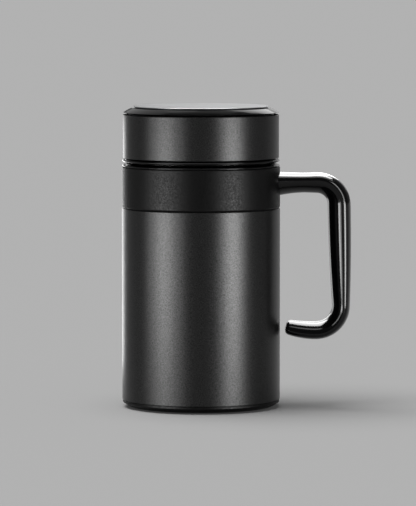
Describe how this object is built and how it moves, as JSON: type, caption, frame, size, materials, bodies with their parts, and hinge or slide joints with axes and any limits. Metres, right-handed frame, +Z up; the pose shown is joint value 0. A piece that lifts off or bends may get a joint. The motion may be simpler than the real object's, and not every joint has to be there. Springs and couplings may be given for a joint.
{
  "type": "travel mug",
  "caption": "Double-walled steel drinking mug with a screw lid, a metal disc in the lid's top and an open J-shaped side handle held by a collar.",
  "frame": {"origin": "centre of the foot pad's face, on the surface that the mug stands on", "axes": "+Z up along the mug's axis, +X towards the handle"},
  "size_m": [0.125, 0.0862, 0.165],
  "materials": {
    "painted_steel": "satin metallic black paint with a fine grain on steel",
    "bare_steel": "drawn and polished stainless steel",
    "getter_metal": "grey sintered powder",
    "copper_foil": "bright rolled copper",
    "satin_black": "satin moulded black",
    "gloss_black": "glossy moulded black",
    "dark_silicone": "matte dark silicone",
    "clear_silicone": "milky silicone",
    "foam": "cut closed-cell foam",
    "adhesive": "adhesive film",
    "satin_disc": "satin metal"
  },
  "bodies": {
    "mug": {"outer_shell": "painted_steel", "inner_liner": "bare_steel", "shell_bottom": "bare_steel", "vacuum_plug": "bare_steel", "getter": "getter_metal", "foil_wrap": "copper_foil", "base_cap": "satin_black", "foot_pad": "dark_silicone", "handle_collar": "satin_black", "handle": "gloss_black", "handle_screws": "bare_steel", "neck_sleeve": "gloss_black", "neck_gasket": "dark_silicone"},
    "seal": {"lid_seal": "clear_silicone"},
    "lid": {"lid_inner_cap": "gloss_black", "lid_insulation": "foam", "lid_shell": "painted_steel", "lid_top_cap": "gloss_black", "disc_adhesive": "adhesive", "lid_disc": "satin_disc"}
  },
  "joints": [
    {"name": "lid_rise", "type": "slide", "parent": "mug", "child": "seal", "axis": [0, 0, 1], "range_m": [0, 0.018]},
    {"name": "lid_turn", "type": "hinge", "parent": "seal", "child": "lid", "pos_m": [0, 0, 0.15], "axis": [0, 0, 1], "range_deg": [0, 540]}
  ],
  "couplings": [
    {"joint": "lid_rise", "follows": "lid_turn", "m_per_rad": 0.0019099}
  ]
}
